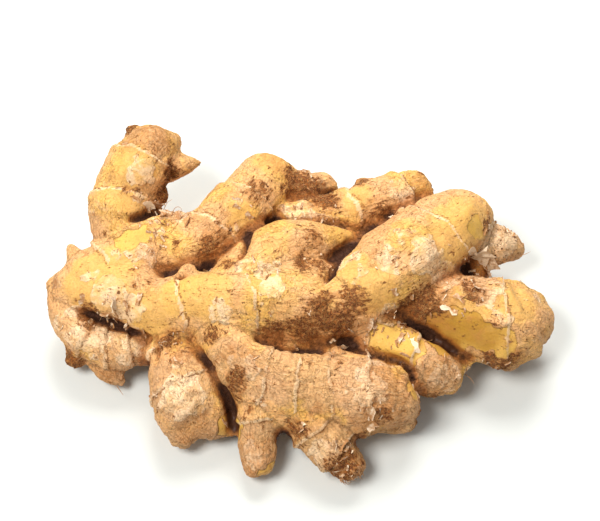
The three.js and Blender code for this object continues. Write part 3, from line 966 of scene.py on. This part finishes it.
# How deep in a crease a point lies, for the painted shade there.
crease_shade = shaken("crease", speck, 1.6)
colour = lay(colour, [
    (step_of(shaken("scab", mottle, 2.2), 0.02, 0.75, 0.0, 0.65), STAIN_AND_VALLEY_SHADE),
    # Painted shade: orange brown in the wide valleys between the fingers.
    (step_of(shaken("valley", mottle, 4.5), 0.9, 5.0, 0.0, 0.8), STAIN_AND_VALLEY_SHADE),
    (times(browned_here, step_of(fine_fibre, 0.35, 0.6, 0.5, 1.0)), STAIN_AND_VALLEY_SHADE),
    (times(scab_here, 0.92), cork_colour),
    (times(freckles, freckle_share), CORK_DARK),
    # Painted shade: brown, then near black, deep in the creases.
    (step_of(crease_shade, 0.3, 1.6, 0.0, 0.8), CORK_AND_CREASE_SHADE),
    (step_of(crease_shade, 1.3, 2.8, 0.0, 0.95), CREASE_SHADE_DARK),
])
shade = step_of(dust, 0.32, 0.68, 0.8, 1.15)
colour = coloured(sums("MULTIPLY_ADD", skin_left, 0.8, 0.2), colour, shade, "MULTIPLY")
wire(shader.inputs["Base Color"], colour)
print("nodes with all colours:", len(tree.nodes))

# %% Set the shine and the finest relief
roughness = sums("MULTIPLY_ADD", smooth_here, -0.24, 0.68)
roughness = sums("MULTIPLY_ADD", scab_here, 0.15, roughness)
wire(shader.inputs["Roughness"], roughness)
set_inputs(shader, {
    "Specular IOR Level": 0.22,
    "Subsurface Weight": 0.05,
    "Subsurface Radius": (1.0, 0.5, 0.2),
    "Subsurface Scale": 1.2 * MM,
})


def raised(height, parts):
    """Adds parts to a height. A part is where it is, then how high it stands."""
    for where, amount in parts:
        height = sums("MULTIPLY_ADD", where, amount, height)
    return height


height = times(fibre, 0.6)
height = raised(height, [(fine_fibre, 0.5), (step_of(fold_line, 0.0, 0.03), 0.4)])
height = times(height, skin_left)
height = raised(height, [
    (dust, 0.25),
    (times(curl_ridge, scab_here), 0.8),
    (papery_here, 0.3),
    (bare_here, -0.3),
    (ring_line, -0.7),
])
bump = node_of("ShaderNodeBump")
set_inputs(bump, {"Strength": 1.0, "Distance": BUMP_HEIGHT})
wire(bump.inputs["Height"], height)
wire(shader.inputs["Normal"], bump.outputs["Normal"])

body.data.materials.append(skin)
pick(body)
bpy.ops.object.shade_smooth()
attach(body, "root")
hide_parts("ginger_rhizome")
print("skin nodes:", len(tree.nodes))

# %% [markdown]
# ## Loose papery scales
#
# The torn rims of the scale leaves stay on the rings and round the patches as small dry flakes, and
# a few large ones stand up and curl. A flake is a thin sheet, so one small sheet is made and
# solidified, and copies of it are torn, laid against the skin and curled up, each in its own
# way. They are one joined mesh, because a hand of ginger has hundreds of them.

# %% Make one thin sheet
SHEET_CUTS_ALONG = 4
SHEET_CUTS_OUT = 3
SCALE_THICKNESS = 0.13

bpy.ops.mesh.primitive_grid_add(
    x_subdivisions=SHEET_CUTS_ALONG,
    y_subdivisions=SHEET_CUTS_OUT,
    size=2,
)
sheet = bpy.context.object
finish_with(sheet, "SOLIDIFY", thickness=2.0, offset=0.0)
sheet_points = points_of(sheet)
sheet_faces = [tuple(face.vertices) for face in sheet.data.polygons]
bpy.data.objects.remove(sheet)
print("one sheet:", len(sheet_points), "points,", len(sheet_faces), "faces")

# %% Lay the sheets on the skin
# Standing scales: x, y, z, heading in degrees from above, length, reach, curl in degrees, lift.
STANDING_SCALES = [
    (65, 15, 24, 60, 11, 7.5, 40, 1.2), (70, 15, 20, 20, 7, 5.5, 70, 0.8),
    (62, 12, 32, 100, 6, 4, 60, 0.5), (72, 13, 20, -40, 5, 4, 90, 0.6),
    (-65, -8, 31.5, 200, 5.5, 5, 150, 0.3), (-62, -9, 31, 20, 4.5, 3.5, 80, 0.2),
    (-69, -10, 26, 250, 3.5, 3, 90, 0.4), (-62, -13, 25, 280, 3, 3, 120, 0.5),
    (-56, -15, 24, 30, 3, 2.5, 80, 0.4), (-73, -11, 25, 160, 3, 2.5, 60, 0.3),
    (-58, -7, 33, 340, 5, 3, 40, 0.1), (-77, -5, 29, 180, 4, 2.5, 50, 0.1),
    (-55, 31, 34, 40, 6, 4, 60, 0.4), (-52, 33, 32, 80, 5, 4, 100, 0.6),
    (-48, 31, 32, 120, 4, 3.5, 60, 0.5), (-45, 29, 32, 20, 5, 3, 90, 0.3),
    (-41, 25, 34, 340, 4, 3, 60, 0.3), (-50, 29, 33, 300, 3, 3, 80, 0.3),
    (33, -8, 38, 30, 3.5, 2.5, 30, 0.2), (58, -6, 34, 240, 5, 3, 25, 0.1),
    (65, -2, 33, 260, 4, 2.5, 40, 0.1), (54, -10, 33, 250, 6, 3, 20, 0.1),
    (24, -17, 31, 300, 5, 3, 50, 0.3), (28, -16, 31, 250, 4, 3, 40, 0.2),
    (35, -19, 27, 330, 5, 3, 30, 0.1), (40, -23, 27, 20, 6, 3, 25, 0.1),
    (37, -27, 25, 60, 4, 2.5, 30, 0.1), (14, -24, 26, 290, 4, 3, 70, 0.4),
    (24, -48, 25, 320, 5, 3, 60, 0.3), (25, -51, 21, 300, 4, 3, 80, 0.3),
    (0, -51, 20, 270, 4, 3, 50, 0.2), (-42, -28, 27, 240, 4, 2.5, 50, 0.2),
    (-26, -46, 15, 300, 4, 3, 60, 0.2), (14, -56, 19, 290, 5, 3, 40, 0.2),
    (-23, 28, 39, 60, 3, 2, 30, 0.1), (-19, 26, 36, 40, 3, 2.5, 50, 0.1),
    (-86, 4, 24, 170, 4, 2, 60, 0.1),
]
# Where small scales gather: x, y, z, how far round in mm, and how many.
SCALE_CLUSTERS = [
    (-49, 30, 33, 7, 26), (-52, 17, 34, 4, 12), (-66, -9, 28, 7, 16), (58, -6, 33, 8, 12),
    (34, -18, 29, 8, 16), (16, -62, 13, 6, 16), (65, 14, 25, 7, 12), (-44, -22, 30, 6, 10),
    (25, -48, 24, 5, 8),
]
SMALL_SCALES = 380
scale_points = []
scale_faces = []
scale_tints = []
chance = random.Random(11)
skin_tree = BVHTree.FromObject(body, bpy.context.evaluated_depsgraph_get())


def add_scale(centre, heading, length, reach, curl, lift, paleness=0.5):
    """Lays one torn sheet on the skin. It is held at one edge and curls up along its heading."""
    found, normal, _, _ = skin_tree.find_nearest(Vector(centre) * MM)
    out = (heading - normal * heading.dot(normal)).normalized()
    side = out.cross(normal)
    seed = chance.uniform(0, 100)
    first = len(scale_points)
    for across, outward, face in sheet_points:
        share = 0.5 * (outward + 1)
        torn = 0.78 + 0.5 * noise.noise((1.6 * across + seed, 0, 0))
        width = 0.5 * length * (1 + 0.5 * share * noise.noise((seed, 2.1 * share, across)))
        turn = max(curl * share, 0.01)
        forward = reach * torn * math.sin(turn) / max(curl, 0.01)
        rise = reach * torn * (1 - math.cos(turn)) / max(curl, 0.01)
        rise += lift * share + 0.12 * reach * share * noise.noise((2 * across, 2 * share, seed))
        flat = found + (side * across * width + out * forward) * MM
        under, lean, _, _ = skin_tree.find_nearest(flat)
        height = rise - 0.12 * (1 - share) + 0.5 * SCALE_THICKNESS * face
        scale_points.append(under + (lean * 0.5 + normal * 0.5).normalized() * height * MM)
        scale_tints.append(paleness + 0.4 * noise.noise((seed, across, share)) + 0.2 * share)
    scale_faces.extend(tuple(first + corner for corner in face) for face in sheet_faces)


for x, y, z, turn, length, reach, curl, lift in STANDING_SCALES:
    heading = Vector((math.cos(math.radians(turn)), math.sin(math.radians(turn)), 0.25))
    paleness = 0.6 if length > 5.4 else 0.3
    add_scale((x, y, z), heading, length, reach, math.radians(curl), lift, paleness)

torn_rims = (np.abs(past_ring + 0.2) < 0.5) & (ring_strength > 0.4)
torn_rims |= np.abs(papery - 0.5) < 0.12
torn_rims |= np.abs(scab - 0.4) < 0.06
torn_rims |= np.abs(bare - 0.25) < 0.12
torn_rims &= skin_mm[:, 2] > 2.5


def add_small_scales(allowed, count):
    """Scatters small scales over the allowed points of the skin."""
    spots = np.flatnonzero(allowed)
    for _ in range(count):
        spot = chance.choice(spots)
        along = Vector(direction_at[spot]) * chance.choice((1, 1, -1))
        stray = Vector((chance.uniform(-1, 1), chance.uniform(-1, 1), chance.uniform(-1, 1)))
        length = chance.uniform(1.0, 3.2)
        reach = chance.uniform(0.6, 1.5)
        curl = chance.uniform(0.2, 1.4)
        paleness = chance.uniform(0.05, 0.45)
        add_scale(skin_mm[spot], along + 0.7 * stray, length, reach, curl, 0.1, paleness)


add_small_scales(torn_rims, SMALL_SCALES)
for x, y, z, size, count in SCALE_CLUSTERS:
    add_small_scales(away_from(skin_mm, x, y, z) < size, count)

scales_mesh = bpy.data.meshes.new("papery_scales")
scales_mesh.from_pydata(scale_points, [], scale_faces)
scales = new_piece("papery_scales", scales_mesh)
tints = scales_mesh.attributes.new("tint", "FLOAT", "POINT")
tints.data.foreach_set("value", np.array(scale_tints, np.float32))
in_edit_mode(scales, (bpy.ops.mesh.normals_make_consistent, {"inside": False}))
print("scales:", len(scales_mesh.polygons) // len(sheet_faces), "sheets")

# %% Paint the scales
SCALE_PALE = (0.79, 0.62, 0.43, 1)
SCALE_BROWN = (0.4, 0.19, 0.07, 1)

paper, tree, paper_shader = new_material("papery_scale")
paper_place = scaled(node_of("ShaderNodeTexCoord").outputs["Object"], (METRE_TO_MM,) * 3)
paper_cloud = clouds(paper_place, 0.9, 3.0, 0.6)
paper_shade = sums("SUBTRACT", paper_cloud, 0.5)
paper_shade = sums("ADD", mask_of("tint"), paper_shade)
paper_colour = coloured(step_of(paper_shade, 0.25, 0.75), SCALE_BROWN, SCALE_PALE)
wire(paper_shader.inputs["Base Color"], paper_colour)
set_inputs(paper_shader, {"Roughness": 0.75, "Specular IOR Level": 0.3})
scales.data.materials.append(paper)
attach(scales, "root")

# %% [markdown]
# ## Dried roots
#
# Thin roots grow from the rings and dry to wiry brown threads. Most break off. What is left is a
# curled one by the fork of the far left finger, a few short hooks, and the frayed end of one near
# stub. Each is a bevelled curve through a few points, which tapers like the real thread.

# %% Draw the dried roots
# Thickness at the foot in mm, then the points that each root passes, in mm.
DRIED_ROOTS = [
    (0.34, [(-52, 15.5, 33), (-52.3, 17, 35.5), (-52, 19, 37.2), (-50.6, 20.2, 37.8),
        (-49.6, 19.2, 37.4)]),
    (0.26, [(-51, 14.5, 33), (-50, 13.5, 34.5), (-48.6, 13.6, 35.2)]),
    (0.32, [(82, 21, 18), (84.5, 21.6, 18.6), (86.2, 22.8, 18.2)]),
    (0.3, [(-47, 31, 31), (-45.4, 32.2, 33.5), (-43.6, 31.4, 34.6), (-42.8, 29.8, 34.2)]),
    (0.28, [(-50, 33, 31), (-48.6, 35, 32.6), (-46.8, 35.6, 33.8)]),
    (0.3, [(-44, 28.5, 31), (-42, 29.6, 33), (-40.4, 29, 34.4)]),
    (0.28, [(-69, -10, 25.5), (-69.6, -11.2, 28), (-68.8, -12.4, 29.2)]),
    (0.26, [(-61, -13.5, 24), (-60.4, -14.6, 26.6), (-59.2, -14.8, 27.6)]),
    (0.3, [(-66, -27.5, 6), (-64.4, -29.6, 5.2), (-63.6, -31, 5.6)]),
    (0.3, [(-77, -20, 17), (-78, -22, 17.4), (-79.4, -22.8, 16.4)]),
    (0.26, [(13, -24, 27), (14, -25.2, 29.4), (15.4, -25, 30.4)]),
    (0.3, [(35, 48, 24), (35.5, 50, 25), (36.8, 51.2, 24.6)]),
    (0.28, [(60, -26, 12), (62, -28, 12), (63, -29.4, 11)]),
]
FRAYED_END = Vector((18.2, -63, 8))
FRAYED_ALONG = Vector((0.58, -0.78, -0.25))
FRAYED_THREADS = 34
FRAYED_THICKNESS = 0.3
ROOT_STEP = 0.7
ROOT_TAPER = 0.65
ROOT_BROWN = (0.42, 0.21, 0.085, 1)


def dried_root(name, thickness, knots):
    """A tapering thread through the knots, all in mm."""
    curve = bpy.data.curves.new(name, "CURVE")
    curve.dimensions = "3D"
    curve.bevel_depth = 0.5 * thickness * MM
    curve.bevel_resolution = 1
    curve.use_fill_caps = True
    line = smooth_line(knots, ROOT_STEP)
    spline = curve.splines.new("POLY")
    spline.points.add(len(line) - 1)
    for number, (point, knot) in enumerate(zip(spline.points, line)):
        point.co = (*(knot * MM), 1)
        point.radius = 1 - ROOT_TAPER * number / len(line)
    return new_piece(name, curve)


threads = [dried_root(f"thread_{n}", width, knots) for n, (width, knots) in enumerate(DRIED_ROOTS)]
end_side = FRAYED_ALONG.cross(Vector(UP)).normalized()
end_up = end_side.cross(FRAYED_ALONG).normalized()
for number in range(FRAYED_THREADS):
    angle = chance.uniform(0, 2 * math.pi)
    ring = end_side * math.cos(angle) + end_up * math.sin(angle)
    start, normal, _, _ = skin_tree.find_nearest((FRAYED_END + ring * chance.uniform(1, 6)) * MM)
    start = start / MM - normal * 0.3
    middle = start + FRAYED_ALONG * chance.uniform(0.4, 1.0) + normal * chance.uniform(0.4, 0.8)
    end = middle + FRAYED_ALONG * chance.uniform(0.2, 1.4) + ring * chance.uniform(-0.8, 0.3)
    end.y = max(end.y, SOLID_LO.y / MM)
    end.z = max(end.z, 0.4)
    knots = [tuple(start), tuple(middle), tuple(end)]
    threads.append(dried_root(f"frayed_{number}", FRAYED_THICKNESS, knots))

bpy.ops.object.select_all(action="DESELECT")
for thread in threads:
    thread.select_set(True)
bpy.context.view_layer.objects.active = threads[0]
bpy.ops.object.convert(target="MESH")
bpy.ops.object.join()
roots = bpy.context.object
roots.name = "dried_roots"
in_edit_mode(
    roots,
    (bpy.ops.mesh.remove_doubles, {"threshold": 0.002 * MM}),
    (bpy.ops.mesh.normals_make_consistent, {"inside": False}),
)
bpy.ops.object.shade_smooth()

root_paint, _, root_shader = new_material("dried_root")
set_inputs(root_shader, {"Base Color": ROOT_BROWN, "Roughness": 0.7})
roots.data.materials.clear()
roots.data.materials.append(root_paint)
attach(roots, "root")
print("dried roots:", len(threads), "with", len(roots.data.polygons), "faces")
